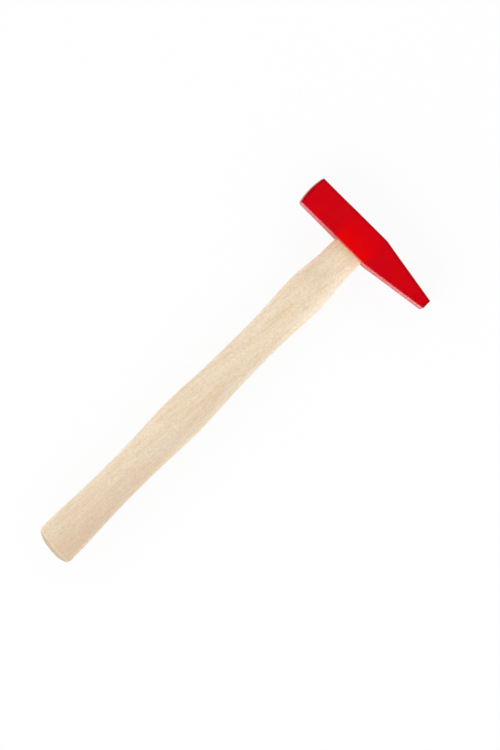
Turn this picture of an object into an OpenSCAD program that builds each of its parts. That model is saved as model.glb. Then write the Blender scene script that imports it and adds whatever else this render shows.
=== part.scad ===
// Fitters hammer of the 200 g pattern: a forged cross-pein head on a wedged wooden handle.
// Sizes are in millimetres. X runs along the handle from the butt to the head, Y points to
// the striking face and Z up. The hammer lies on its cheek. z = 0 is the bench it lies on,
// and the origin is on the bench under the middle of the eye.

/* [Head] */
// From the middle of the eye to the crown of the striking face
face_reach = 42.3; // [38:0.1:50]
// From the middle of the eye to the end of the pein
pein_reach = 55.6; // [46:0.1:66]
// Height of the head, measured along the handle
head_height = 19.5; // [17:0.1:22]
// Thickness of the head behind the striking face
face_thick = 18.6; // [16:0.1:20]
// Thickness of the head over its flat cheeks
cheek_thick = 20.4; // [19:0.1:23]
// Thickness of the head along the pein
pein_thick = 19; // [15:0.1:20]
// From the middle of the eye to the face end of the flat cheeks
cheek_front = 12; // [10.5:0.1:16]
// Length over which a flat cheek fades into the body
cheek_fade = 11; // [6:0.5:16]
// From the middle of the eye to where the pein starts to taper
pein_start = 12.6; // [10.5:0.1:18]
// Height of the pein at its end
pein_edge = 6.2; // [3.5:0.1:9]
// How much nearer the handle the middle of the pein's end lies than the head's axis
pein_drop = 0.5; // [0:0.1:1.5]
// Radius of the crown on the striking face
crown_radius = 43; // [30:1:120]
// Rounding of the head's long edges
edge_round = 0.6; // [0.4:0.1:1.5]
// Rounding of the striking face's edge
face_round = 0.8; // [0.4:0.1:1.8]
// Rounding of the pein's end
pein_round = 0.7; // [0.3:0.1:1.2]

/* [Eye] */
// Length of the eye at its throat, across the handle's width
eye_length = 19.6; // [17:0.1:20]
// Width of the eye at its throat, across the handle's thickness
eye_width = 11.4; // [10.8:0.1:12.4]
// How far each side of the eye opens from the throat to its mouths
eye_flare = 0.65; // [0.2:0.05:1]
// Chamfer round both mouths of the eye
eye_edge = 0.4; // [0.2:0.1:0.8]

/* [Handle] */
// Length of the handle below the head
handle_length = 251.6; // [235:0.2:300]
// How much wider the handle's neck is than the eye's mouth, on each side
neck_step = 0.1; // [0:0.05:0.3]
// Length of the straight neck under the head
neck_length = 3; // [1:0.5:8]
// Width of the first swell
swell_1_width = 25.3; // [22:0.1:29]
// Thickness of the first swell
swell_1_thick = 16.4; // [14:0.1:20]
// From the head to the first swell
swell_1_at = 36; // [25:1:48]
// Width of the first waist
waist_1_width = 22.4; // [19:0.1:25]
// Thickness of the first waist
waist_1_thick = 15.2; // [12:0.1:18]
// From the head to the first waist
waist_1_at = 79; // [60:1:100]
// Width of the second swell
swell_2_width = 26; // [23:0.1:30]
// Thickness of the second swell
swell_2_thick = 18.6; // [15:0.1:20]
// From the head to the second swell
swell_2_at = 142; // [120:1:160]
// Width of the second waist
waist_2_width = 23.4; // [20:0.1:27]
// Thickness of the second waist
waist_2_thick = 17.4; // [14:0.1:19]
// From the head to the second waist
waist_2_at = 191; // [178:1:210]
// Width of the butt
butt_width = 26.3; // [24:0.1:32]
// Thickness of the butt
butt_thick = 20; // [16:0.1:20.4]
// From the end of the butt to where its sides run straight
butt_land = 7.4; // [7.2:0.1:12]
// Rounding of the butt's edge
butt_round = 1.5; // [0.5:0.1:1.8]
// How far the middle of the butt stands out
butt_dome = 3.4; // [0.5:0.1:3.6]
// How far the end of the butt leans from square, longer on the pein's side, in degrees
butt_tilt = 5.5; // [0:0.5:6]
// How long the waists stay slim: 1 is even, and more gives longer waists
waist_ease = 1.35; // [1:0.05:2]
// Squareness of the handle's oval: 2 is an ellipse, and more is squarer
oval_power = 2.2; // [2:0.05:2.6]

/* [Wedges] */
// Clearance between the tenon and the eye, on each side
fit_gap = 0.05; // [0.03:0.01:0.1]
// Clearance round each driven wedge
wedge_gap = 0.05; // [0.03:0.01:0.1]
// How far the end of the tenon stands out of the head
tenon_proud = 0.3; // [0:0.1:2]
// Depth of the wooden wedge
wood_wedge_depth = 15; // [13:0.5:17]
// Thickness of the wooden wedge at the end of the tenon
wood_wedge_top = 2.6; // [1.8:0.1:3.4]
// Thickness of the wooden wedge at its tip
wood_wedge_tip = 0.9; // [0.5:0.1:1.4]
// Depth of saw cut left open under the wooden wedge
kerf_spare = 1.2; // [0.5:0.1:3]
// Depth of the steel wedge
steel_wedge_depth = 11; // [10:0.5:12]
// Width of the steel wedge, across the wooden one
steel_wedge_width = 8.8; // [6:0.1:9.4]
// Thickness of the steel wedge at its head
steel_wedge_top = 2.2; // [1.6:0.1:3]
// Thickness of the steel wedge at its tip
steel_wedge_tip = 0.6; // [0.3:0.1:1]
// How far the steel wedge is driven below the end of the tenon
steel_wedge_sink = 0.2; // [0:0.1:1]
// Number of barbs on each side of the steel wedge
barb_count = 4; // [2:1:4]
// Distance from one barb to the next
barb_pitch = 2; // [1.2:0.1:2]
// Plain length at the tip, before the first barb
barb_start = 1.4; // [0.8:0.1:2]
// How far a barb stands out
barb_depth = 0.3; // [0.1:0.05:0.5]

/* [Hidden] */

// Facets: points round an oval, steps in a corner, along the eye, in a fade, and ring spacing
oval_points = 36;
corner_steps = 4;
eye_steps = 8;
fade_steps = 6;
ring_pitch = 5;
// Rings on the crown and on the domed butt, as shares of its flat-on size, from the middle out
dome_shares = [0.25, 0.5, 0.75];
// How far a cutting shape runs past the surface that it cuts
over = 1;

// The head's planes along the handle, and the height of the handle's axis over the bench
head_top = head_height / 2;
underside = -head_height / 2;
axis_z = cheek_thick / 2;
tenon_top = head_top + tenon_proud;
// Where the eye's chamfers start, on both sides of the throat
mouth_x = head_top - eye_edge;

// Widest and narrowest places of the handle: distance below the head, width, thickness
stations = [
    [neck_length, neck_size(eye_length), neck_size(eye_width)],
    [swell_1_at, swell_1_width, swell_1_thick],
    [waist_1_at, waist_1_width, waist_1_thick],
    [swell_2_at, swell_2_width, swell_2_thick],
    [waist_2_at, waist_2_width, waist_2_thick],
    [handle_length - butt_land, butt_width, butt_thick]
];

function neck_size(throat) = throat + 2 * (eye_flare + neck_step);

// Smooth step from 0 to 1
function ease(t) = t * t * (3 - 2 * t);

// Size between two stations, a at t = 0 and b at t = 1, slow to leave the smaller one
function between(a, b, t) =
    a < b ? a + (b - a) * ease(pow(t, waist_ease)) : b + (a - b) * ease(pow(1 - t, waist_ease));

// One coordinate of a superellipse, from the sine or cosine of its angle
function bulged(s) = sign(s) * pow(abs(s), 2 / oval_power);

// Oval ring square to the handle's axis at x, turning from Z to Y
function oval(x, width, thick) = [
    for (i = [0 : oval_points - 1])
        let (a = 360 * i / oval_points)
            [x, width / 2 * bulged(sin(a)), axis_z + thick / 2 * bulged(cos(a))]
];

// Opening of the eye's sides at x, from none at the throat to the full flare at a mouth
function flare(x) = eye_flare * pow(x / mouth_x, 2);

// Oval of the eye at x, grown on each side
function eye_oval(x, grow) = let (g = 2 * (flare(min(abs(x), mouth_x)) + grow))
    oval(x, eye_length + g, eye_width + g);

// Ovals between the eye's chamfers, from the top of the head down, grown on each side
function eye_rings(grow) = [
    for (i = [0 : eye_steps]) eye_oval(mouth_x * (1 - 2 * i / eye_steps), grow)
];

// Drop of the crowned face below its apex
function sag(x, z) = crown_radius - sqrt(crown_radius * crown_radius - x * x - z * z);

// Rounded rectangle around the head's axis as [x, z] pairs, turning from X to Z
function outline(height, thick, r) = [
    for (k = [0 : 3], i = [0 : corner_steps])
        let (
            a = 90 * (k + i / corner_steps),
            sx = k == 0 || k == 3 ? 1 : -1,
            sz = k < 2 ? 1 : -1
        )
            [sx * (height / 2 - r) + r * cos(a), sz * (thick / 2 - r) + r * sin(a)]
];

// How far along its taper the pein has come at y, from 0 to 1
function along_pein(y) = max(0, -y - pein_start) / (pein_reach - pein_start);

// Flat ring of the head at y, nearer the handle along the pein
function head_ring(y, height, thick, r) = [
    for (p = outline(height, thick, r)) [p[0] - pein_drop * along_pein(y), y, axis_z + p[1]]
];

// Ring that follows the crown of the face, set back behind it
function crown_ring(height, thick, r, back) = [
    for (p = outline(height, thick, r)) [p[0], face_reach - sag(p[0], p[1]) - back, axis_z + p[1]]
];

// Share of the cheeks' extra thickness that is left at a distance past their flat part
function fade(d) = d <= 0 ? 1 : d >= cheek_fade ? 0 : (1 + cos(180 * d / cheek_fade)) / 2;

// Thickness of the head at y
function thick_at(y) =
    y > 0 ? face_thick + (cheek_thick - face_thick) * fade(y - cheek_front)
          : pein_thick + (cheek_thick - pein_thick) * fade(-y - pein_start);

// Height of the head at y, which tapers along the pein
function height_at(y) = head_height - (head_height - pein_edge) * along_pein(y);

function body_ring(y) = head_ring(y, height_at(y), thick_at(y), edge_round);

// Quarter of a rounded edge: [inset, distance left to the end plane], from the side to the end
function edge_steps(r) = [
    for (i = [0 : corner_steps])
        let (a = 90 * i / corner_steps) [r * (1 - cos(a)), r * (1 - sin(a))]
];

// Closed skin over rings of equal point counts, with a middle point at each end
module loft(rings, first, last) {
    n = len(rings[0]);
    m = len(rings);
    last_point = n * m + 1;
    points = concat([first], [for (ring = rings) each ring], [last]);
    faces = concat(
        [for (j = [0 : n - 1]) [0, 1 + j, 1 + (j + 1) % n]],
        [
            for (i = [0 : m - 2], j = [0 : n - 1])
                let (a = 1 + i * n + j, b = 1 + i * n + (j + 1) % n)
                    each [[a, a + n, b + n], [a, b + n, b]]
        ],
        [for (j = [0 : n - 1]) [last_point, last_point - n + (j + 1) % n, last_point - n + j]]
    );
    polyhedron(points = points, faces = faces);
}

// The head before its eye is punched, from the crown of the face to the end of the pein
module head_blank() {
    face_h = head_height - 2 * face_round;
    face_t = face_thick - 2 * face_round;
    behind_face = face_reach - sag(head_top, face_thick / 2) - face_round - over;
    crown = [for (s = dome_shares) crown_ring(s * face_h, s * face_t, s * edge_round, 0)];
    steps = edge_steps(face_round);
    face_edge = [
        for (i = [corner_steps : -1 : 0])
            crown_ring(
                head_height - 2 * steps[i][0], face_thick - 2 * steps[i][0], edge_round, steps[i][1]
            )
    ];
    face_fade = [
        for (i = [fade_steps : -1 : 0]) body_ring(cheek_front + cheek_fade * i / fade_steps)
    ];
    pein_fade = [
        for (i = [0 : fade_steps]) body_ring(-pein_start - cheek_fade * i / fade_steps)
    ];
    end = pein_round - pein_reach;
    pein_end = [
        for (s = edge_steps(pein_round))
            head_ring(
                s[1] - pein_reach, height_at(end) - 2 * s[0], thick_at(end) - 2 * s[0], edge_round
            )
    ];
    loft(
        concat(crown, face_edge, [body_ring(behind_face)], face_fade, pein_fade, pein_end),
        [0, face_reach, axis_z],
        [-pein_drop, -pein_reach, axis_z]
    );
}

// Everything that the punched eye takes out of the head
module eye() {
    reach = head_top + over;
    grow = eye_edge + over;
    loft(
        concat([eye_oval(reach, grow)], eye_rings(0), [eye_oval(-reach, grow)]),
        [reach, 0, axis_z],
        [-reach, 0, axis_z]
    );
}

// The tenon's skin, from its end down to the underside of the head
function tenon_rings() = concat([eye_oval(tenon_top, -fit_gap)], eye_rings(-fit_gap));

// The tenon alone, which gives the wooden wedge its ends
module tenon() {
    loft(tenon_rings(), [tenon_top, 0, axis_z], [-mouth_x, 0, axis_z]);
}

// The whole handle before the tenon is sawn and wedged
module handle_blank() {
    neck = eye_oval(underside, min(neck_step, eye_edge - fit_gap));
    shaft = [
        for (s = [0 : len(stations) - 2])
            let (a = stations[s], b = stations[s + 1], steps = ceil((b[0] - a[0]) / ring_pitch))
                for (i = [0 : steps - 1])
                    let (t = i / steps)
                        oval(
                            underside - a[0] - (b[0] - a[0]) * t,
                            between(a[1], b[1], t),
                            between(a[2], b[2], t)
                        )
    ];
    butt = oval(underside - handle_length + butt_land, butt_width, butt_thick);
    butt_edge = [for (s = edge_steps(butt_round)) dome_ring(1 - 2 * s[0] / butt_thick, s[1])];
    flat_share = 1 - 2 * butt_round / butt_thick;
    dome = [
        for (k = [len(dome_shares) - 1 : -1 : 0]) dome_ring(dome_shares[k] * flat_share, 0)
    ];
    loft(
        concat(tenon_rings(), [neck], shaft, [butt], butt_edge, dome),
        [tenon_top, 0, axis_z],
        [underside - handle_length, 0, axis_z]
    );
}

// Ring of the domed butt at a share of its full size, set back from the dome, and leaning
function dome_ring(share, back) =
    let (x = underside - handle_length + butt_dome * share * share + back)
        [
            for (p = oval(x, butt_width - butt_thick * (1 - share), butt_thick * share))
                [p[0] + p[1] * tan(butt_tilt), p[1], p[2]]
        ];

// Profile of a wedge's seat from above the tenon down: [x, across], for a taper in depth
function seat_profile(depth, top, tip, grow, spare) =
    let (
        tip_x = tenon_top - depth,
        above = (top + (top - tip) * over / depth) / 2 + grow,
        below = tip / 2 + grow
    )
        [
            [tenon_top + over, above], [tenon_top + over, -above],
            [tip_x, -below], [tip_x - spare, -below],
            [tip_x - spare, below], [tip_x, below]
        ];

// The wooden wedge's taper across the whole tenon, or its saw cut where grown
module wood_seat(grow, spare) {
    run = eye_length + 2 * eye_flare + 2 * over;
    translate([0, run / 2, axis_z])
        rotate([90, 0, 0])
            linear_extrude(height = run)
                polygon(seat_profile(wood_wedge_depth, wood_wedge_top, wood_wedge_tip, grow, spare));
}

// The slot that the steel wedge and its barbs open
module steel_seat() {
    translate([0, 0, axis_z])
        linear_extrude(height = steel_wedge_width + 2 * wedge_gap, center = true)
            polygon(
                seat_profile(
                    steel_wedge_depth + steel_wedge_sink, steel_wedge_top, steel_wedge_tip,
                    barb_depth + wedge_gap, wedge_gap
                )
            );
}

// Forged head with its crowned face, flat cheeks, cross pein and hourglass eye
module hammer_head() {
    color("#c80612") difference() {
        head_blank();
        eye();
    }
}

// Shaped wooden handle with its sawn tenon
module handle() {
    color("#e8d5ba") difference() {
        handle_blank();
        wood_seat(wedge_gap, kerf_spare);
        steel_seat();
    }
}

// Wooden wedge along the eye, cut off flush with the tenon
module wooden_wedge() {
    color("#c39a68") difference() {
        intersection() {
            tenon();
            wood_seat(0, 0);
        }
        steel_seat();
    }
}

// Barbed steel wedge across the wooden one
module steel_wedge() {
    head_x = tenon_top - steel_wedge_sink;
    tip_x = head_x - steel_wedge_depth;
    slope = (steel_wedge_top - steel_wedge_tip) / steel_wedge_depth;
    side = concat(
        [[tip_x, steel_wedge_tip / 2]],
        [
            for (i = [0 : barb_count - 1])
                let (
                    foot = barb_start + barb_pitch * i,
                    crest = foot + barb_pitch,
                    half_foot = (steel_wedge_tip + slope * foot) / 2,
                    half_crest = (steel_wedge_tip + slope * crest) / 2
                )
                    each [[tip_x + foot, half_foot], [tip_x + crest, half_crest + barb_depth]]
        ],
        [
            [
                tip_x + barb_start + barb_pitch * barb_count,
                (steel_wedge_tip + slope * (barb_start + barb_pitch * barb_count)) / 2
            ],
            [head_x, steel_wedge_top / 2]
        ]
    );
    other_side = [for (i = [len(side) - 1 : -1 : 0]) [side[i][0], -side[i][1]]];
    color("#9ba1a6")
        translate([0, 0, axis_z])
            linear_extrude(height = steel_wedge_width, center = true)
                polygon(concat(side, other_side));
}

hammer_head();
handle();
wooden_wedge();
steel_wedge();
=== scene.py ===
# %% [markdown]
# # A fitters hammer, dressed for the camera
# The hammer is a red enamelled steel head on a raw wooden handle, held by two wedges. Its
# construction model comes first and gives every size. The pieces made here are finer copies
# of those solids: a solid for measuring has facets and bare edges, and a picture needs soft
# shoulders, paint, grain and the small gaps round the wedges. The hammer lies on its cheek.
# X runs along the handle to the head, Y to the striking face, and Z up from the bench.

# %% Load the construction model
import math

import bmesh
import bpy
import numpy as np
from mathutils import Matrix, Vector, noise


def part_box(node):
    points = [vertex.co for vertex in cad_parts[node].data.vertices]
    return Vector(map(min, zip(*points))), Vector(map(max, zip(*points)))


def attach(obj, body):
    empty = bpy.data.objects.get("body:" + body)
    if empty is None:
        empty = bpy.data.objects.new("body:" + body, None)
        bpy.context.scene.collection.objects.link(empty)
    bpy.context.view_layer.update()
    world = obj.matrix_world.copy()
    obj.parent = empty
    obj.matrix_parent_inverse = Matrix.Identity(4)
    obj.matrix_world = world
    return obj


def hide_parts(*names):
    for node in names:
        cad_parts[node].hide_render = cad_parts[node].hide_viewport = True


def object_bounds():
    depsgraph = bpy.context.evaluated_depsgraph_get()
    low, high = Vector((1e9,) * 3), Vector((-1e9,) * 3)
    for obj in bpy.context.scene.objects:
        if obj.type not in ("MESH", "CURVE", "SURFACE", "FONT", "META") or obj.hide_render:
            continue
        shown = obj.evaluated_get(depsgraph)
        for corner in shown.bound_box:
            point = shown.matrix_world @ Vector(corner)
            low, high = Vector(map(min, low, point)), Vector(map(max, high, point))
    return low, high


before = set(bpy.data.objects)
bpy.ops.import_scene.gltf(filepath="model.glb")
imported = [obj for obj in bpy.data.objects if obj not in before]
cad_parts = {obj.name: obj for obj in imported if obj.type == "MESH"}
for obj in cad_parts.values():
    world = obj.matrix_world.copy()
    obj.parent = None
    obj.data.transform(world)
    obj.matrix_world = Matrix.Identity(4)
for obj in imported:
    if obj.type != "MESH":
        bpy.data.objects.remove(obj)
cad_low, cad_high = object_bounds()
MM = 0.001
print("construction model, mm:", [round(v / MM, 1) for v in cad_high - cad_low])

# %% Take the head's and the handle's places from the model
head_low, head_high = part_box("hammer_head")
handle_low, handle_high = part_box("handle")
face_y = head_high.y
pein_y = head_low.y
head_top = head_high.x
underside = head_low.x
cheek_z = head_high.z
axis_z = (head_low.z + head_high.z) / 2
tenon_top = handle_high.x
butt_x = handle_low.x
print("handle below the head, mm:", round((underside - butt_x) / MM, 1))

# %% [markdown]
# ## The camera
# The photograph looks straight down, with the handle running from the lower left to the
# head at the upper right. A long lens a metre up keeps the sides of the hammer nearly
# hidden, so only a sliver of the head's underside shows. The aim point is worked out from
# where the middle of the eye falls in the picture.

# %% Set the camera above the hammer
PHOTO_W = 500
PHOTO_H = 750
EYE_AT_PX = (359.66, 239.2)
CAMERA_HEIGHT = 984 * MM
MM_PER_PX = 0.5968 * MM
SENSOR = 36.0
TURN = math.radians(-45.13)

right = Vector((math.cos(TURN), math.sin(TURN), 0))
up = Vector((-math.sin(TURN), math.cos(TURN), 0))
from_middle = (EYE_AT_PX[0] - PHOTO_W / 2, PHOTO_H / 2 - EYE_AT_PX[1])
aim = -(right * from_middle[0] + up * from_middle[1]) * MM_PER_PX

camera_data = bpy.data.cameras.new("overhead")
camera_data.sensor_width = SENSOR
camera_data.lens = SENSOR * CAMERA_HEIGHT / (PHOTO_H * MM_PER_PX)
camera = bpy.data.objects.new("overhead", camera_data)
camera.location = (aim.x, aim.y, axis_z + CAMERA_HEIGHT)
camera.rotation_euler = (0, 0, TURN)
bpy.context.scene.collection.objects.link(camera)
bpy.context.scene.camera = camera
print("lens, mm:", round(camera_data.lens, 1), "aim, mm:", [round(v / MM, 1) for v in aim])

# %% [markdown]
# ## Three helpers
# Colours are written as the hex values that a screen shows, and one function turns them to
# the linear numbers that a shader wants. Another adds a node, sets it and links it, so
# that a material or a node tree reads as a list of what it is made of. The third starts a
# material.

# %% Colour and node helpers
def linear(hex_colour):
    """An sRGB hex colour such as "#c80612" as linear RGBA."""
    values = [int(hex_colour[i : i + 2], 16) / 255 for i in (1, 3, 5)]
    return [v / 12.92 if v <= 0.04045 else ((v + 0.055) / 1.055) ** 2.4 for v in values] + [1.0]


MATH = "ShaderNodeMath"
RANGE = "ShaderNodeMapRange"
MIX = "ShaderNodeMix"


def add(tree, kind, *inputs, named=None, **settings):
    """A new node. Inputs are values, nodes or sockets, in order or by socket name."""
    node = tree.nodes.new(kind)
    for name, value in settings.items():
        setattr(node, name, value)
    pairs = list(zip(node.inputs, inputs))
    pairs += [(node.inputs[name], value) for name, value in (named or {}).items()]
    for socket, value in pairs:
        if isinstance(value, bpy.types.Node):
            value = value.outputs[0]
        if isinstance(value, bpy.types.NodeSocket):
            tree.links.new(value, socket)
        elif value is not None:
            socket.default_value = value
    return node


def new_material(name):
    """An empty material, its node tree and its Principled shader."""
    made = bpy.data.materials.new(name)
    made.use_nodes = True
    return made, made.node_tree, made.node_tree.nodes["Principled BSDF"]


print("mid grey, linear:", round(linear("#808080")[0], 3))

# %% [markdown]
# ## The bench and the light
# The hammer was photographed on a plain white table with white light all round it, so its
# sides are as bright as its top and there is hardly a shadow. The table's own colour is pale.
# The camera sees most of it as plain white, and reflections see a little of that. The light
# comes from a bright ring of sky, a little brighter toward the butt. The ring leaves a dark
# patch overhead, where the camera and the ceiling are, and that patch is what keeps glare off
# the flat red cheek. A large soft lamp lights the side toward the butt. A small one with a
# narrow beam reaches the neck's far side, which lies in the head's shade.

# %% Lay the floor
FLOOR_HALF = 3.0
SEEN_WHITENING = 0.92
MIRRORED_WHITENING = 0.1

floor_mesh = bpy.data.meshes.new("bench")
corners = [(x * FLOOR_HALF, y * FLOOR_HALF, 0) for x, y in ((-1, -1), (1, -1), (1, 1), (-1, 1))]
floor_mesh.from_pydata(corners, [], [(0, 1, 2, 3)])
floor = bpy.data.objects.new("bench", floor_mesh)
bpy.context.scene.collection.objects.link(floor)

paper, tree, shader = new_material("white_paper_sweep")
shader.inputs["Base Color"].default_value = linear("#f4f4f4")
shader.inputs["Roughness"].default_value = 0.9
rays = add(tree, "ShaderNodeLightPath")
seen = add(tree, MATH, rays.outputs["Is Camera Ray"], SEEN_WHITENING, operation="MULTIPLY")
for kind in ("Is Glossy Ray", "Is Transmission Ray"):
    mirrored = add(tree, MATH, rays.outputs[kind], MIRRORED_WHITENING, operation="MULTIPLY")
    seen = add(tree, MATH, seen, mirrored, operation="MAXIMUM")
glow = add(tree, "ShaderNodeEmission", (1, 1, 1, 1), 1.0)
mixed = add(tree, "ShaderNodeMixShader", seen, shader, glow)
tree.links.new(mixed.outputs[0], tree.nodes["Material Output"].inputs["Surface"])
floor_mesh.materials.append(paper)
print("bench, m:", 2 * FLOOR_HALF, "on a side")

# %% Shape the sky's ring
# The sky's strength by height, from 0 at the horizon to 1 overhead, is a low rim, a bright
# ring and a dark patch.
HORIZON_STRENGTH = 0.6
RING_STRENGTH = 2.05
RING_FOOT = (0.1, 0.4)
RING_TOP = (0.55, 0.86)
world = bpy.data.worlds.new("studio")
world.use_nodes = True
bpy.context.scene.world = world
tree = world.node_tree
where = add(tree, "ShaderNodeTexCoord")
height = add(tree, "ShaderNodeSeparateXYZ", where.outputs["Generated"])
foot = add(
    tree, RANGE,
    named={
        "Value": height.outputs["Z"], "From Min": RING_FOOT[0], "From Max": RING_FOOT[1],
        "To Min": HORIZON_STRENGTH, "To Max": RING_STRENGTH,
    },
    interpolation_type="SMOOTHSTEP",
)
fall = add(
    tree, RANGE,
    named={
        "Value": height.outputs["Z"], "From Min": RING_TOP[0], "From Max": RING_TOP[1],
        "To Min": 1.0, "To Max": 0.0,
    },
    interpolation_type="SMOOTHSTEP",
)
ring = add(tree, MATH, foot, fall, operation="MULTIPLY")
print("nodes of the ring:", len(tree.nodes))

# %% Light the room from the sky
BRIGHTER_SIDE = (-0.2, 0.0, 0.0)
toward = add(
    tree, "ShaderNodeVectorMath", where.outputs["Generated"], BRIGHTER_SIDE,
    operation="DOT_PRODUCT",
)
side = add(tree, MATH, toward.outputs["Value"], 1.0, operation="ADD")
sky = add(tree, MATH, ring, side, operation="MULTIPLY")
rays = add(tree, "ShaderNodeLightPath")
strength = add(tree, MIX, rays.outputs["Is Camera Ray"], None, sky, 1.0)
background = tree.nodes["Background"]
background.inputs["Color"].default_value = (1, 1, 1, 1)
tree.links.new(strength.outputs[0], background.inputs["Strength"])
print("sky nodes:", len(tree.nodes))

# %% Hang the two lamps
# Their places are in metres. The spot's whole power goes into a narrow beam, so it needs
# only milliwatts.
WINDOW_AT = Vector((-1.6, 0.0, 0.8))
WINDOW_SIZE = 1.2
WINDOW_WATTS = 9
SPOT_AT = Vector((-0.25, -0.45, 0.08))
SPOT_SIZE = 0.06
SPOT_WATTS = 0.0038
SPOT_BEAM = 14
NECK_AT = Vector((-0.012, -0.01, 0.01))


def softbox(name, place, aim, size, watts, spread=180.0):
    """A square area light at a place, in metres, aimed at another, its beam in degrees."""
    data = bpy.data.lights.new(name, "AREA")
    data.shape = "SQUARE"
    data.size = size
    data.energy = watts
    data.spread = math.radians(spread)
    lamp = bpy.data.objects.new(name, data)
    lamp.location = place
    lamp.rotation_mode = "QUATERNION"
    lamp.rotation_quaternion = (aim - place).to_track_quat("-Z", "Y")
    bpy.context.scene.collection.objects.link(lamp)
    return lamp


middle = (cad_low + cad_high) / 2
softbox("window_side", WINDOW_AT, middle, WINDOW_SIZE, WINDOW_WATTS)
softbox("neck_spot", SPOT_AT, NECK_AT, SPOT_SIZE, SPOT_WATTS, SPOT_BEAM)

# %% [markdown]
# ## The red enamel
# The head is forged steel, dipped in glossy red stoving enamel. Enamel is a hard, smooth
# skin with a refractive index near 1.5, so it mirrors weakly when seen from above and
# strongly at a grazing angle. It draws back from sharp edges as it dries, so edges look
# darker, and it keeps a fine orange peel and slow waves over the forged skin beneath. On
# top of that, its colour carries painted shade along the rims away from the handle, at the
# ends and at the foot of the side by the handle, and a painted highlight on the cheeks by
# the eye.

# %% Mix the enamel
PEEL_SIZE = 1.1 * MM
PEEL_DEPTH = 0.01 * MM
WAVE_SIZE = 9.0 * MM
WAVE_DEPTH = 0.08 * MM

red_enamel, tree, shader = new_material("red_stoving_enamel")
where = add(tree, "ShaderNodeTexCoord")
waves = add(
    tree, "ShaderNodeTexNoise", where.outputs["Object"],
    named={"Scale": 1 / WAVE_SIZE, "Detail": 3.0},
)
tint = add(
    tree, RANGE,
    named={"Value": waves, "From Min": 0.3, "From Max": 0.7},
    interpolation_type="SMOOTHSTEP",
)
ground = add(tree, "ShaderNodeAttribute", attribute_name="ground").outputs["Fac"]
edge = add(tree, "ShaderNodeAttribute", attribute_name="edge").outputs["Fac"]
colour = linear("#ca0112")
# The tint follows the slow waves. The bright red is a painted highlight on the cheeks by the eye;
# the dark red is thinner paint on the edges together with painted shade.
for share, other_red in ((tint, "#d0000c"), (ground, "#e60001"), (edge, "#8c020c")):
    colour = add(
        tree, MIX, share, named={6: colour, 7: linear(other_red)}, data_type="RGBA"
    ).outputs[2]
tree.links.new(colour, shader.inputs["Base Color"])
peel = add(
    tree, "ShaderNodeTexNoise", where.outputs["Object"],
    named={"Scale": 1 / PEEL_SIZE, "Detail": 2.0},
)
gloss = add(tree, RANGE, named={"Value": waves, "To Min": 0.2, "To Max": 0.3})
tree.links.new(gloss.outputs[0], shader.inputs["Roughness"])
shader.inputs["IOR"].default_value = 1.5
fine = add(
    tree, "ShaderNodeBump",
    named={"Strength": 0.35, "Distance": PEEL_DEPTH, "Height": peel},
)
broad = add(
    tree, "ShaderNodeBump",
    named={"Strength": 0.5, "Distance": WAVE_DEPTH, "Height": waves, "Normal": fine},
)
tree.links.new(broad.outputs[0], shader.inputs["Normal"])
print("enamel nodes:", len(tree.nodes))

# %% [markdown]
# ## The head
# A fitters head starts as a square bar. The eye is punched, which swells the cheeks, one end
# is drawn out to a cross pein and the other is ground to a slightly crowned face. It could be
# a beveled cube pushed into shape, but then no edge would keep its true radius. Rings of
# points along the head, each a rounded rectangle, give every radius a real size and leave
# enough vertices for the paint to catch the light softly.

# %% Name the head's sizes
FACE_THICK = 18.6 * MM
PEIN_THICK = 19.0 * MM
CHEEK_FRONT = 12.0 * MM
CHEEK_FADE = 11.0 * MM
PEIN_START = 12.6 * MM
PEIN_EDGE = 6.2 * MM
PEIN_DROP = 0.5 * MM
CROWN_RADIUS = 43.0 * MM
EDGE_ROUND = 0.6 * MM
FACE_ROUND = 0.45 * MM
PEIN_ROUND = 0.7 * MM
PEIN_SOFTEN = 1.2 * MM
CORNER_POINTS = 9
SIDE_POINTS = 11
CROWN_RINGS = 12
CROWN_SHARES = (0.08, 0.96)
BAR_RINGS = 72
ROUND_STEPS = 7

head_height = head_top - underside
cheek_thick = 2 * (cheek_z - axis_z)
pein_slope = (head_height - PEIN_EDGE) / (-pein_y - PEIN_START)
print("pein slope, degrees:", round(math.degrees(math.atan(pein_slope)), 1))


# %% Draw a rounded rectangle as a ring
def ring_outline(height, thick, radius):
    """Points [x, z] round the head's axis, and how far each lies round a corner, 0 to 1."""
    points, turn = [], []
    for k, (sx, sz) in enumerate(((1, 1), (-1, 1), (-1, -1), (1, -1))):
        middle = np.array([sx * (height / 2 - radius), sz * (thick / 2 - radius)])
        for i in range(CORNER_POINTS):
            a = math.pi / 2 * (k + i / (CORNER_POINTS - 1))
            points.append(middle + radius * np.array([math.cos(a), math.sin(a)]))
            turn.append(math.sin(math.pi * i / (CORNER_POINTS - 1)))
        sx, sz = ((-1, 1), (-1, -1), (1, -1), (1, 1))[k]
        following = np.array([sx * (height / 2 - radius), sz * (thick / 2 - radius)])
        following = following + radius * np.array([math.cos(a), math.sin(a)])
        start = points[-1]
        for i in range(1, SIDE_POINTS + 1):
            along = (1 - math.cos(math.pi * i / (SIDE_POINTS + 1))) / 2
            points.append(start + (following - start) * along)
            turn.append(0.0)
    return np.array(points), np.array(turn)


print("points round the head:", len(ring_outline(head_height, cheek_thick, EDGE_ROUND)[0]))


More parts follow.
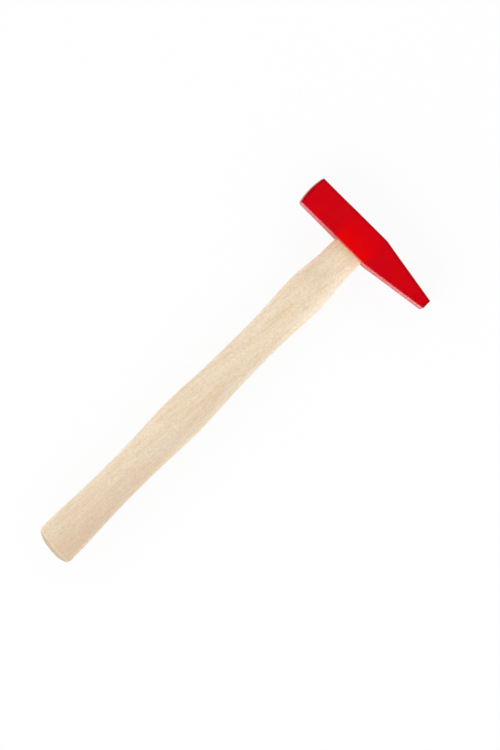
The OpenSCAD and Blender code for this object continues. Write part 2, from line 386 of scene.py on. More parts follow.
# %% Join rings into a closed body
def closed_loft(name, rings, first, last):
    """A closed mesh over rings of equally many points, with a middle point at each end."""
    count = len(rings[0])
    points = [first] + [p for ring in rings for p in ring] + [last]
    end = len(points) - 1
    faces = [(0, 1 + (j + 1) % count, 1 + j) for j in range(count)]
    for i in range(len(rings) - 1):
        a, b = 1 + i * count, 1 + (i + 1) * count
        faces += [(a + j, a + (j + 1) % count, b + (j + 1) % count, b + j) for j in range(count)]
    tail = end - count
    faces += [(end, tail + j, tail + (j + 1) % count) for j in range(count)]
    mesh = bpy.data.meshes.new(name)
    mesh.from_pydata([tuple(p) for p in points], [], faces)
    mesh.validate()
    return mesh


print("rings to come:", CROWN_RINGS + BAR_RINGS + 2 * ROUND_STEPS + 1)


# %% Size the head along its length
def head_size(y):
    """Height and thickness of the head at y, and how far its middle has come to the handle."""
    past = -y - PEIN_START
    soft = PEIN_SOFTEN
    run = 0.0 if past < -soft else past if past > soft else (past + soft) ** 2 / (4 * soft)
    end = FACE_THICK if y > 0 else PEIN_THICK
    away = y - CHEEK_FRONT if y > 0 else past
    swell = (1 + math.cos(math.pi * min(max(away / CHEEK_FADE, 0.0), 1.0))) / 2
    drop = PEIN_DROP * run / (-pein_y - PEIN_START)
    return head_height - pein_slope * run, end + (cheek_thick - end) * swell, drop


def crown_drop(points):
    """How far each point of a face ring lies behind the crown's apex."""
    return CROWN_RADIUS - np.sqrt(CROWN_RADIUS**2 - (points**2).sum(axis=1))


def quarter_round(radius):
    """Inset from the side, distance to the end and how far it bends, round a quarter turn."""
    turns = [math.pi / 2 * i / ROUND_STEPS for i in range(ROUND_STEPS + 1)]
    return [
        (radius * (1 - math.cos(a)), radius * (1 - math.sin(a)), math.sin(2 * a)) for a in turns
    ]


def stand(flat, y, drop=0.0):
    """Stands a ring [x, z] on the head's axis at y, moved toward the handle by the drop."""
    return np.column_stack([flat[:, 0] - drop, 0 * flat[:, 0] + y, flat[:, 1] + axis_z])


print("head at its pein edge, mm:", [round(v / MM, 1) for v in head_size(pein_y)])

# %% Loft the head from the face to the pein
rings, edges = [], []
flat_height = head_height - 2 * FACE_ROUND
flat_thick = FACE_THICK - 2 * FACE_ROUND
for share in np.linspace(*CROWN_SHARES, CROWN_RINGS):
    flat, turn = ring_outline(share * flat_height, share * flat_thick, share * EDGE_ROUND)
    rings.append(stand(flat, face_y - crown_drop(flat)))
    edges.append(0 * turn)
for inset, back, bend in reversed(quarter_round(FACE_ROUND)):
    flat, turn = ring_outline(head_height - 2 * inset, FACE_THICK - 2 * inset, EDGE_ROUND)
    rings.append(stand(flat, face_y - crown_drop(flat) - back))
    edges.append(np.maximum(turn, bend))
corner_drop = crown_drop(np.array([[head_height / 2, FACE_THICK / 2]]))[0]
bar_start = face_y - corner_drop - FACE_ROUND - MM
for y in np.linspace(bar_start, pein_y + PEIN_ROUND, BAR_RINGS):
    height, thick, drop = head_size(y)
    flat, turn = ring_outline(height, thick, EDGE_ROUND)
    rings.append(stand(flat, y, drop))
    edges.append(turn)
for inset, back, bend in quarter_round(PEIN_ROUND)[1:]:
    height, thick, drop = head_size(pein_y + back)
    flat, turn = ring_outline(height - 2 * inset, thick - 2 * inset, EDGE_ROUND)
    rings.append(stand(flat, pein_y + back, drop))
    edges.append(np.maximum(turn, bend))
head_mesh = closed_loft(
    "hammer_head_blank", rings, (0, face_y, axis_z), (-PEIN_DROP, pein_y, axis_z)
)
print("head blank:", len(head_mesh.polygons), "faces")

# %% [markdown]
# The forged skin under the paint isn't dead flat. A slow noise moves each vertex by a few
# hundredths of a millimetre, always inward, so the head never grows past its true size. An
# attribute keeps where the red is darker: round the edges, where the paint is thinner, and
# as painted shade along the rims away from the handle, at both ends and at the foot of the
# side that faces the handle. Another keeps a painted highlight, a brighter red, on the part
# of the cheeks by the eye.

# %% Mark the thinner paint on the edges and the painted shade
# Each share is how much of the dark red shows there.
RIM_WIDTH = 1.8 * MM
FOOT_SHADE = 9 * MM
RIM_SHARE = 0.95
END_SHARE = 0.8
CORNER_SHARE = 0.6
FOOT_SHARE = 0.6
SIDE_FROM = 0.9
SIDE_FADE = 0.05


def mark(mesh, name, values):
    """Keeps one number per vertex under a name, in place of any that a cut left there."""
    layer = mesh.attributes.get(name) or mesh.attributes.new(name, "FLOAT", "POINT")
    layer.data.foreach_set("value", np.asarray(values, dtype=np.float32))


spots = np.array([v.co[:] for v in head_mesh.vertices])
turned = np.concatenate([[0.0]] + edges + [[0.0]])
at_x, at_y, at_z = spots.T
tapered = np.array([head_size(y)[0] for y in at_y])
from_cheek = FACE_THICK / 2 - np.abs(at_z - axis_z)
dropped = PEIN_DROP * np.clip(at_y / pein_y, 0, 1)
top_gap = np.maximum(tapered / 2 - at_x - dropped, from_cheek)
within = np.minimum(tapered / 2 - np.abs(at_x), from_cheek)
from_end = np.where(
    at_y > 0, face_y - corner_drop - FACE_ROUND - at_y, at_y - pein_y - PEIN_ROUND
)
end_gap = np.maximum(from_end, 0) + np.maximum(within, 0)
# Painted shade along the rims away from the handle and at both ends.
near = np.maximum(
    RIM_SHARE * np.clip(1 - np.maximum(top_gap, 0) / RIM_WIDTH, 0, 1),
    END_SHARE * np.clip(1 - 2 * end_gap / RIM_WIDTH, 0, 1),
)
on_side = np.clip((-at_x / (tapered / 2) - SIDE_FROM) / SIDE_FADE, 0, 1)
# Painted shade at the foot of the side that faces the handle.
foot = FOOT_SHARE * on_side * np.clip(1 - (at_z - head_low.z) / FOOT_SHADE, 0, 1)
darker_paint_and_shade = np.max([near, foot, CORNER_SHARE * turned], axis=0)
mark(head_mesh, "edge", darker_paint_and_shade)
print("mean share of dark red:", round(float(darker_paint_and_shade.mean()), 2))

# %% Mark the cheek's painted highlight and give the skin its waves
# The painted highlight grows from none at the head's top to twice its share by the handle.
BRIGHT_SHARE = 0.45
BRIGHT_SHORT = 3 * MM
BRIGHT_FADE = 6 * MM
CHEEK_SKIN = 2 * MM
SKIN_WAVE = 0.03 * MM
SKIN_WAVE_LONG = 7 * MM

to_head = np.clip(at_x / (head_height / 2), -1, 1)
past_eye = np.abs(at_y) - CHEEK_FRONT + BRIGHT_SHORT
flat_cheek = 1 - np.clip(past_eye / BRIGHT_FADE, 0, 1)
under_skin = np.abs(at_z - axis_z) - cheek_thick / 2 + CHEEK_SKIN
on_cheek = np.clip(under_skin / MM, 0, 1)
painted_highlight_share = flat_cheek * on_cheek * (BRIGHT_SHARE - BRIGHT_SHARE * to_head)
mark(head_mesh, "ground", painted_highlight_share)
for vertex in head_mesh.vertices:
    wave = noise.noise(vertex.co / SKIN_WAVE_LONG) * 0.5 + 0.5
    inward = Vector((-vertex.co.x, 0, axis_z - vertex.co.z))
    if inward.length > MM:
        vertex.co += inward.normalized() * wave * SKIN_WAVE
print("most of the brighter red:", round(float(painted_highlight_share.max()), 2))

# %% [markdown]
# ## The eye
# The eye is punched from both sides, so it is an oval with a waist, and its mouths are
# rounded over where the paint runs in. A cutting body is lofted from ovals and taken out of
# the head with a Boolean, which keeps both the flat of the head and the curve of the eye.

# %% Draw the eye's ovals
EYE_LENGTH = 19.6 * MM
EYE_WIDTH = 11.4 * MM
EYE_FLARE = 0.65 * MM
EYE_EDGE = 0.4 * MM
OVAL_POWER = 2.2
OVAL_POINTS = 96
mouth_x = head_top - EYE_EDGE


def oval_ring(x, width, thick):
    """Superellipse square to the handle at x, turning from Z to Y."""
    ring = []
    for i in range(OVAL_POINTS):
        a = 2 * math.pi * i / OVAL_POINTS
        s = math.copysign(abs(math.sin(a)) ** (2 / OVAL_POWER), math.sin(a))
        c = math.copysign(abs(math.cos(a)) ** (2 / OVAL_POWER), math.cos(a))
        ring.append((x, width / 2 * s, axis_z + thick / 2 * c))
    return ring


def eye_ring(x, grow):
    """The eye's oval at x, grown on each side."""
    open_by = EYE_FLARE * min(abs(x) / mouth_x, 1.0) ** 2 + grow
    return oval_ring(x, EYE_LENGTH + 2 * open_by, EYE_WIDTH + 2 * open_by)


mouth = np.array(eye_ring(mouth_x, 0))
print("eye's mouth, mm:", np.round((mouth.max(axis=0) - mouth.min(axis=0))[1:] / MM, 1))

# %% Loft the eye's cutting body
EYE_RINGS = 15
LIP_RINGS = 7
LIP_TURN = 1.45
PAST_LIP = 1.0 * MM
lip_turns = np.linspace(0, LIP_TURN, LIP_RINGS)
lip = [(EYE_EDGE * math.sin(a), EYE_EDGE * (1 - math.cos(a))) for a in lip_turns]
past_lip = [(EYE_EDGE + PAST_LIP, EYE_EDGE + PAST_LIP)]
upper = [eye_ring(mouth_x + out, grow) for out, grow in reversed(lip[1:] + past_lip)]
lower = [eye_ring(-mouth_x - out, grow) for out, grow in lip[1:] + past_lip]
between = [eye_ring(x, 0) for x in np.linspace(mouth_x, -mouth_x, EYE_RINGS)]
reach = head_top + PAST_LIP
eye_mesh = closed_loft(
    "eye_cutter", upper + between + lower, (reach, 0, axis_z), (-reach, 0, axis_z)
)
mark(eye_mesh, "edge", [CORNER_SHARE] * len(eye_mesh.vertices))
mark(eye_mesh, "ground", [0.0] * len(eye_mesh.vertices))
print("eye cutter:", len(eye_mesh.polygons), "faces")


# %% Place, settle, carve and soften a piece
def place(name, mesh):
    """A new object at the origin that shows a mesh."""
    made = bpy.data.objects.new(name, mesh)
    bpy.context.scene.collection.objects.link(made)
    return made


def settle(piece):
    """Turns what a piece's modifiers show into its own plain mesh."""
    shown = piece.evaluated_get(bpy.context.evaluated_depsgraph_get())
    plain_mesh = bpy.data.meshes.new_from_object(shown)
    piece.modifiers.clear()
    piece.data = plain_mesh
    plain_mesh.name = piece.name
    return piece


def carve(piece, tool, operation="DIFFERENCE"):
    """Cuts a closed tool out of a piece, or keeps only what both share."""
    cut = piece.modifiers.new("carve", "BOOLEAN")
    cut.operation = operation
    cut.solver = "EXACT"
    cut.object = tool
    return settle(piece)


def soften(piece, degrees):
    """Smooth shading, with a crease wherever faces meet more sharply than this."""
    piece.data.shade_smooth()
    piece.data.set_sharp_from_angle(angle=math.radians(degrees))


head = place("head", head_mesh)
eye = place("eye_cutter", eye_mesh)
print("vertices of the blank and the cutter:", len(head.data.vertices), len(eye.data.vertices))

# %% Cut the eye and finish the head
carve(head, eye)
bpy.data.objects.remove(eye)
soften(head, 40)
head.data.materials.clear()
head.data.materials.append(red_enamel)
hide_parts("hammer_head")
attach(head, "root")
print("head:", len(head.data.polygons), "faces,", len(head.data.vertices), "vertices")

# %% [markdown]
# ## The handle's wood
# The handle is pale beech, turned and sanded but neither oiled nor varnished. Up close it has
# fine pores, short flecks and a few long darker lines along the grain, which runs out of the
# side at a few degrees. Longer blotches drift between cream and ochre. A paler band on the side
# toward the pein, strongest by the head, is painted light, and the wood darkens toward the edge
# that it leans to. The first millimetres below the head carry a painted light, a little
# yellower, that evens out the red bounce and the shade from the head. The butt and the end of
# the tenon are cut across the grain, which soaks up more light, and on the butt that darker
# tint reaches faintly onto the side as painted shade.

# %% Name the wood's sizes
# Each layer of the grain is its width in millimetres, how many times longer it is along the
# grain, how much of its noise shows, and how strongly it darkens the wood. The pores are drawn
# coarser than real ones, which would be too fine to show.
GRAIN_LEAN = 6.0
GRAIN = {
    "pores": (1.2, 1.4, (0.25, 0.75), 0.3),
    "flecks": (1.1, 18.0, (0.3, 0.75), 0.15),
    "dark lines": (0.8, 40.0, (0.66, 0.8), 0.25),
}
# Each slower change is where it starts, where it is full and how much of it shows then. The
# first three are places on the handle, and blotches come by their noise. The shift picks the
# part of that noise whose blotches lie most as in the picture.
CHANGES = {
    "deep tone": (-8.0 * MM, -32.0 * MM, 1.0),
    # The side light is painted light: a paler band on the side toward the pein, strongest by the
    # head.
    "painted_side_light": (-2.0 * MM, -10.0 * MM, 0.85),
    # The light by the head is painted light: a yellower tint just below the head that evens out
    # the red bounce and the shade from the head.
    "painted_light_by_head": (-17.2 * MM, -12.7 * MM, 0.9),
    "blotches": (0.26, 0.74, 0.36),
}
TONE_WANDER = 6.0 * MM
SIDE_LIGHT_SLOPE = (-0.035, 1.0, 0.0)
BLOTCH_SIZE = 4.6 * MM
BLOTCH_LONG = 6.0
BLOTCH_SHIFT = (466.5 * MM, 302.1 * MM, -159.5 * MM)
SOAKED_LEAST = 0.8
PORE_DEPTH = 0.04 * MM
print("layers of grain:", ", ".join(GRAIN))


# %% Draw the grain
def draw_grain(tree, lean):
    """The noise of each layer, and how much they darken the wood together."""
    noises, shade = {}, 0.0
    for layer, (size, longer, (start, full), depth) in GRAIN.items():
        drawn = add(tree, "ShaderNodeMapping", lean, named={"Scale": (1 / longer, 1, 1)})
        noises[layer] = add(
            tree, "ShaderNodeTexNoise", drawn, named={"Scale": 1 / (size * MM), "Detail": 1.0}
        )
        part = add(
            tree, RANGE,
            named={
                "Value": noises[layer], "From Min": start, "From Max": full, "To Max": depth
            },
        )
        shade = add(tree, MATH, part, shade, operation="ADD")
    return noises, shade


print("finest grain, mm:", min(size for size, *_ in GRAIN.values()))


# %% Draw the slower changes
def draw_changes(tree, where, lean):
    """How much of each slower change shows, in the order of their names."""
    drawn = add(
        tree, "ShaderNodeMapping", lean,
        named={"Location": BLOTCH_SHIFT, "Scale": (1 / BLOTCH_LONG, 1, 1)},
    )
    blotches = add(
        tree, "ShaderNodeTexNoise", drawn, named={"Scale": 1 / BLOTCH_SIZE, "Detail": 2.0}
    )
    across = add(tree, "ShaderNodeSeparateXYZ", lean).outputs["Y"]
    wander = add(tree, MATH, blotches, TONE_WANDER, across, operation="MULTIPLY_ADD")
    side_light_across = add(tree, "ShaderNodeVectorMath", where, SIDE_LIGHT_SLOPE, operation="DOT_PRODUCT")
    along = add(tree, "ShaderNodeSeparateXYZ", where).outputs["X"]
    sources = (wander, side_light_across.outputs["Value"], along, blotches)
    shares = {}
    for (change, (start, full, depth)), source in zip(CHANGES.items(), sources):
        shares[change] = add(
            tree, RANGE,
            named={"Value": source, "From Min": start, "From Max": full, "To Max": depth},
        )
    # The painted light by the head stays off the tenon inside the eye.
    shaft = add(tree, "ShaderNodeAttribute", attribute_name="outside").outputs["Fac"]
    shares["painted_light_by_head"] = add(tree, MATH, shares["painted_light_by_head"], shaft, operation="MULTIPLY")
    return list(shares.values())


print("slower changes:", ", ".join(CHANGES))


# %% Mix the raw wood
def raw_wood(name, pale, *tints):
    """Unfinished close-grained wood whose grain runs along X.

    The tints lie over the pale wood: one for each slower change, of which the side light
    and the light by the head are painted light, one for the grain and one for the end
    grain, which on the butt's rim is painted shade.
    """
    made, tree, shader = new_material(name)
    where = add(tree, "ShaderNodeTexCoord").outputs["Object"]
    lean = add(
        tree, "ShaderNodeMapping", where, named={"Rotation": (0, 0, math.radians(GRAIN_LEAN))}
    )
    noises, shade = draw_grain(tree, lean)
    changes = draw_changes(tree, where, lean)
    # The end grain, with its painted shade ahead of the butt's rim.
    cut = add(tree, "ShaderNodeAttribute", attribute_name="end_grain")
    soaked_and_shaded = add(
        tree, RANGE,
        named={"Value": noises["pores"], "From Min": 0.3, "From Max": 0.7, "To Min": SOAKED_LEAST},
    )
    soaked_and_shaded = add(tree, MATH, cut.outputs["Fac"], soaked_and_shaded, operation="MULTIPLY")
    colour = linear(pale)
    for share, tint in zip([*changes, shade, soaked_and_shaded], tints):
        colour = add(
            tree, MIX, share, named={6: colour, 7: linear(tint)}, data_type="RGBA"
        ).outputs[2]
    tree.links.new(colour, shader.inputs["Base Color"])
    looks = {"Roughness": 0.65, "IOR": 1.45, "Sheen Weight": 0.05, "Sheen Roughness": 0.5}
    for look, value in looks.items():
        shader.inputs[look].default_value = value
    rough = add(
        tree, "ShaderNodeBump",
        named={"Strength": 0.4, "Distance": PORE_DEPTH, "Height": noises["pores"]},
    )
    pitted = add(
        tree, "ShaderNodeBump",
        named={
            "Strength": 0.4, "Distance": -PORE_DEPTH, "Height": noises["flecks"],
            "Normal": rough,
        },
    )
    tree.links.new(pitted.outputs[0], shader.inputs["Normal"])
    return made


print("the grain leans by", GRAIN_LEAN, "degrees")

# %% Mix the handle's and the wedge's wood
# The wedge is sawn from a browner offcut.
# Of the beech's tints, #fffaeb is the painted side light, #f2f1d2 the painted light by the head,
# and #a99779 the end grain, which on the butt's rim is painted shade.
beech = raw_wood(
    "raw_sanded_beech", "#f4e7d2", "#d8c8b6", "#fffaeb", "#f2f1d2", "#e2b482", "#bd9a62",
    "#a99779",
)
wedge_beech = raw_wood(
    "sawn_wedge_beech", "#d2b284", "#c69f70", "#d2b284", "#d2b284", "#b98e5c", "#8a6238",
    "#a87f50",
)
print("wood nodes:", len(beech.node_tree.nodes))

# %% [markdown]
# ## The handle
# The handle follows a rule: an oval whose width and thickness swell and waist along its
# length. Geometry Nodes suit that well. A flat grid is the unrolled skin: one way runs along
# the handle, the other round it. Each vertex reads its two shares and is moved to its place
# on the oval. Each swell and waist is a few named sizes on the modifier, so that a longer or
# slimmer handle needs no new modelling.

# %% Name the handle's sizes
# Each station is a name, then its distance below the head, its width and its thickness.
HANDLE_LENGTH = 251.6 * MM
BUTT_LAND = 7.4 * MM
STATIONS = [
    ("Neck", 3.0 * MM, 21.1 * MM, 12.9 * MM),
    ("First swell", 36.0 * MM, 25.3 * MM, 16.4 * MM),
    ("First waist", 79.0 * MM, 22.4 * MM, 15.2 * MM),
    ("Second swell", 142.0 * MM, 26.0 * MM, 18.6 * MM),
    ("Second waist", 191.0 * MM, 23.4 * MM, 17.4 * MM),
    ("Butt", HANDLE_LENGTH - BUTT_LAND, 26.3 * MM, 20.0 * MM),
]
HANDLE_SIZES = {
    "Tenon top": tenon_top,
    "Underside": underside,
    "Butt end": underside - HANDLE_LENGTH,
    "Axis height": axis_z,
    "Waist ease": 1.35,
    "Oval power": OVAL_POWER,
    "Eye length": EYE_LENGTH,
    "Eye width": EYE_WIDTH,
    "Eye flare": EYE_FLARE,
    "Eye mouth": mouth_x,
    "Fit gap": 0.05 * MM,
    "Butt dome": 3.4 * MM,
    "Butt round": 1.5 * MM,
    "Butt slope": math.tan(math.radians(5.5)),
    "Hand wave": 0.12 * MM,
}
# The unrolled skin has rows along the handle and columns round it. The next three shares of
# its length are where the tenon's end turns into its side, the neck and the butt's rim.
ROWS = 241
COLUMNS = 113
TOP_SHARE = 18 / (ROWS - 1)
NECK_SHARE = 48 / (ROWS - 1)
BUTT_SHARE = 210 / (ROWS - 1)
SEAM = 0.002 * MM
print("rows and columns of the skin:", ROWS, COLUMNS)


# %% Give the node tree its inputs
def new_tree(name, output, inputs):
    """An empty geometry tree, the keys of its inputs and the sockets that bring them in."""
    tree = bpy.data.node_groups.new(name, "GeometryNodeTree")
    tree.interface.new_socket(output, in_out="OUTPUT", socket_type="NodeSocketGeometry")
    keys = {}
    for label, kind in inputs.items():
        made = tree.interface.new_socket(label, in_out="INPUT", socket_type=kind)
        keys[label] = made.identifier
    return tree, keys, add(tree, "NodeGroupInput").outputs


SIZE_PARTS = (" distance", " width", " thickness")
station_names = [name + part for name, *_ in STATIONS for part in SIZE_PARTS]
inputs = dict.fromkeys([*HANDLE_SIZES, *station_names], "NodeSocketFloat")
inputs["Wood"] = "NodeSocketMaterial"
tree, sockets, given = new_tree("waisted_handle", "Handle", inputs)
print("handle inputs:", len(sockets))

# %% Lay out the unrolled skin
# Along the handle, u runs from 0 at the middle of the tenon's end to 1 at the middle of the
# butt. The rows shrink into both ends, slowly at first, which leaves more rows at the rims.
grid = add(tree, "GeometryNodeMeshGrid", 1.0, 1.0, ROWS, COLUMNS)
at = add(tree, "ShaderNodeSeparateXYZ", add(tree, "GeometryNodeInputPosition"))
u = add(tree, MATH, at.outputs["X"], 0.5, operation="ADD")
angle = add(
    tree, RANGE,
    named={"Value": at.outputs["Y"], "From Min": -0.5, "From Max": 0.5, "To Max": 2 * math.pi},
)
into_top = add(tree, RANGE, named={"Value": u, "From Min": TOP_SHARE, "From Max": 0.0})
into_butt = add(tree, RANGE, named={"Value": u, "From Min": BUTT_SHARE, "From Max": 1.0})
top_inset = add(tree, MATH, into_top, into_top, operation="MULTIPLY")
butt_inset = add(tree, MATH, into_butt, into_butt, operation="MULTIPLY")
top_part = add(tree, MATH, 1.0, top_inset, operation="SUBTRACT")
butt_part = add(tree, MATH, 1.0, butt_inset, operation="SUBTRACT")
share = add(tree, MATH, butt_part, top_part, operation="MULTIPLY")
print("nodes that unroll the skin:", len(tree.nodes))

# %% Dome the butt and round its rim
half_butt = add(tree, MATH, given["Butt thickness"], 0.5, operation="MULTIPLY")
inset = add(tree, MATH, butt_inset, half_butt, operation="MULTIPLY")
left = add(tree, MATH, given["Butt round"], inset, operation="SUBTRACT")
left = add(tree, MATH, left, 0.0, operation="MAXIMUM")
left_square = add(tree, MATH, left, left, operation="MULTIPLY")
round_square = add(tree, MATH, given["Butt round"], given["Butt round"], operation="MULTIPLY")
rest = add(tree, MATH, round_square, left_square, operation="SUBTRACT")
rise = add(tree, MATH, add(tree, MATH, rest, 0.0, operation="MAXIMUM"), operation="SQRT")
back = add(tree, MATH, given["Butt round"], rise, operation="SUBTRACT")
part_square = add(tree, MATH, butt_part, butt_part, operation="MULTIPLY")
depth = add(tree, MATH, part_square, given["Butt dome"], back, operation="MULTIPLY_ADD")
butt_x_at = add(tree, MATH, given["Butt end"], depth, operation="ADD")
print("nodes with the dome:", len(tree.nodes))

# %% Find each vertex's place along the handle
rim = add(tree, MATH, given["Butt dome"], given["Butt round"], operation="ADD")
rim_x = add(tree, MATH, given["Butt end"], rim, operation="ADD")
tenon_x = add(
    tree, RANGE,
    named={
        "Value": u, "From Min": TOP_SHARE, "From Max": NECK_SHARE,
        "To Min": given["Tenon top"], "To Max": given["Underside"],
    },
)
shaft_x = add(
    tree, RANGE,
    named={
        "Value": u, "From Min": NECK_SHARE, "From Max": BUTT_SHARE,
        "To Min": given["Underside"], "To Max": rim_x,
    },
)
half_row = 0.5 / (ROWS - 1)
on_shaft = add(tree, MATH, u, NECK_SHARE - half_row, operation="GREATER_THAN")
on_butt = add(tree, MATH, u, BUTT_SHARE + half_row, operation="GREATER_THAN")
upper_x = add(tree, MIX, on_shaft, None, tenon_x, shaft_x)
x = add(tree, MIX, on_butt, None, upper_x, butt_x_at)
below = add(tree, MATH, given["Underside"], x, operation="SUBTRACT")
print("nodes with the places:", len(tree.nodes))

# %% Size the oval from the stations
# Between two stations the oval leaves its narrow end slowly and comes softly to its wide one.
oval = {" width": given["Neck width"], " thickness": given["Neck thickness"]}
for (name, _, before, _), (next_name, _, after, _) in zip(STATIONS, STATIONS[1:]):
    ends = (0.0, 1.0) if after > before else (1.0, 0.0)
    from_waist = add(
        tree, RANGE,
        named={
            "Value": below,
            "From Min": given[name + " distance"], "From Max": given[next_name + " distance"],
            "To Min": ends[0], "To Max": ends[1],
        },
    )
    eased = add(tree, MATH, from_waist, given["Waist ease"], operation="POWER")
    step = add(
        tree, RANGE,
        named={"Value": eased, "To Min": ends[0], "To Max": ends[1]},
        interpolation_type="SMOOTHSTEP",
    )
    for way, so_far in oval.items():
        gain = add(tree, MATH, given[next_name + way], given[name + way], operation="SUBTRACT")
        oval[way] = add(tree, MATH, gain, step, so_far, operation="MULTIPLY_ADD")
print("stations:", len(STATIONS))

# %% Fit the tenon to the eye
through = add(tree, MATH, x, given["Eye mouth"], operation="DIVIDE")
opened = add(tree, MATH, through, through, operation="MULTIPLY")
opened = add(tree, MATH, opened, 1.0, operation="MINIMUM")
no_gap = add(tree, MATH, given["Fit gap"], -1.0, operation="MULTIPLY")
opening = add(tree, MATH, opened, given["Eye flare"], no_gap, operation="MULTIPLY_ADD")
tenon_width = add(tree, MATH, opening, 2.0, given["Eye length"], operation="MULTIPLY_ADD")
tenon_thick = add(tree, MATH, opening, 2.0, given["Eye width"], operation="MULTIPLY_ADD")
width = add(tree, MIX, on_shaft, None, tenon_width, oval[" width"])
thick = add(tree, MIX, on_shaft, None, tenon_thick, oval[" thickness"])
print("nodes with the tenon:", len(tree.nodes))

# %% Wrap the skin round the oval
power = add(tree, MATH, 2.0, given["Oval power"], operation="DIVIDE")
round_parts = []
for operation in ("SINE", "COSINE"):
    value = add(tree, MATH, angle, operation=operation)
    size = add(tree, MATH, value, operation="ABSOLUTE")
    bulged = add(tree, MATH, size, power, operation="POWER")
    sign = add(tree, MATH, value, operation="SIGN")
    round_parts.append(add(tree, MATH, bulged, sign, operation="MULTIPLY"))
half_width = add(tree, MATH, width, 0.5, operation="MULTIPLY")
half_thick = add(tree, MATH, thick, 0.5, operation="MULTIPLY")
shown_thick = add(tree, MATH, half_thick, share, operation="MULTIPLY")
lost = add(tree, MATH, half_thick, shown_thick, operation="SUBTRACT")
shown_width = add(tree, MATH, half_width, lost, operation="SUBTRACT")
y = add(tree, MATH, round_parts[0], shown_width, operation="MULTIPLY")
z = add(tree, MATH, round_parts[1], shown_thick, given["Axis height"], operation="MULTIPLY_ADD")
print("nodes with the oval:", len(tree.nodes))

# %% Lean the butt's end
# The end was sawn a few degrees out of square. The lean fades in over the last rows of the
# shaft, so that no face is stretched.
LEAN_SHARE = 0.08
leaning = add(
    tree, RANGE,
    named={"Value": u, "From Min": BUTT_SHARE - LEAN_SHARE, "From Max": BUTT_SHARE},
    interpolation_type="SMOOTHSTEP",
)
slope = add(tree, MATH, leaning, given["Butt slope"], operation="MULTIPLY")
leant_x = add(tree, MATH, y, slope, x, operation="MULTIPLY_ADD")
place_at = add(tree, "ShaderNodeCombineXYZ", leant_x, y, z)
print("nodes with the lean:", len(tree.nodes))

# %% Mark the end grain with its painted shade, and place the skin
# Where the grain is cut across is kept on the flat grid, while each vertex still has its two
# shares for its place. The tenon's flat end starts it sharply. On the butt it begins faintly
# ahead of the rim, which is sanded round, and that faint part is painted shade over the light
# the window lamp puts on the butt's flank.
BUTT_CUT_FULL = 0.9
TOP_CUT_FULL = 0.97
RIM_SHADE = 0.12
RIM_FADE = 3.0 * MM
butt_cut_and_shade = add(
    tree, RANGE, named={"Value": butt_part, "From Min": 1.0, "From Max": BUTT_CUT_FULL}
)
top_cut = add(tree, RANGE, named={"Value": top_part, "From Min": 1.0, "From Max": TOP_CUT_FULL})
# Painted shade ahead of the butt's rim.
ahead_of_rim = add(tree, MATH, x, rim_x, operation="SUBTRACT")
painted_rim_shade = add(
    tree, RANGE,
    named={"Value": ahead_of_rim, "From Min": RIM_FADE, "From Max": 0.0, "To Max": RIM_SHADE},
)
butt_cut_and_shade = add(tree, MATH, butt_cut_and_shade, painted_rim_shade, operation="MAXIMUM")
cut_and_rim_shade = add(tree, MATH, butt_cut_and_shade, top_cut, operation="MAXIMUM")
cut_kept = add(tree, "GeometryNodeStoreNamedAttribute", grid, None, "end_grain", cut_and_rim_shade)
both_kept = add(tree, "GeometryNodeStoreNamedAttribute", cut_kept, None, "outside", on_shaft)
wrapped = add(tree, "GeometryNodeSetPosition", both_kept, None, place_at)
joined = add(tree, "GeometryNodeMergeByDistance", wrapped, named={"Distance": SEAM})
print("nodes with the skin in place:", len(tree.nodes))

# %% Add the waves that sanding leaves
# They only take wood away, so the handle never grows past its true size.
HAND_WAVE_LONG = 16.0 * MM
HAND_WAVE_LEVEL = 0.8
wave = add(
    tree, "ShaderNodeTexNoise", add(tree, "GeometryNodeInputPosition"),
    named={"Scale": 1 / HAND_WAVE_LONG, "Detail": 1.0},
)
sunk = add(tree, MATH, wave, HAND_WAVE_LEVEL, operation="SUBTRACT")
sunk = add(tree, MATH, sunk, 0.0, operation="MINIMUM")
out_of_head = add(tree, "GeometryNodeInputNamedAttribute", "outside")
sunk = add(tree, MATH, sunk, out_of_head, operation="MULTIPLY")
moved = add(tree, MATH, sunk, given["Hand wave"], operation="MULTIPLY")
push = add(
    tree, "ShaderNodeVectorMath", add(tree, "GeometryNodeInputNormal"), operation="SCALE",
    named={"Scale": moved},
)
waved = add(tree, "GeometryNodeSetPosition", joined, None, None, push)
plain_skin = add(tree, "GeometryNodeRealizeInstances", waved)
dressed = add(tree, "GeometryNodeSetMaterial", plain_skin, None, given["Wood"])
add(tree, "NodeGroupOutput", dressed)
print("handle tree:", len(tree.nodes), "nodes")


# %% Run a tree with its sizes
def grow_mesh(name, tree, sockets, values):
    """A new object whose mesh is what a node tree makes of these values."""
    made = place(name, bpy.data.meshes.new(name))
    maker = made.modifiers.new(name, "NODES")
    maker.node_group = tree
    for key, value in values.items():
        maker[sockets[key]] = value
    return settle(made)


values = dict(HANDLE_SIZES, Wood=beech)
for name, *sizes in STATIONS:
    values.update(zip([name + part for part in SIZE_PARTS], sizes))
handle = grow_mesh("handle_shaft", tree, sockets, values)
print("handle:", len(handle.data.polygons), "faces")

# %% [markdown]
# ## The wedges' seats
# The tenon is sawn along its middle. A wooden wedge is driven into the saw cut and spreads
# the tenon in the flared eye, and a barbed steel wedge goes in across it. Each seat is a
# tapered blank that a Boolean takes out of the tenon. The steel wedge's seat is tight at its
# mouth, where wood closes on steel, and wider below, where the barbs have torn it open.

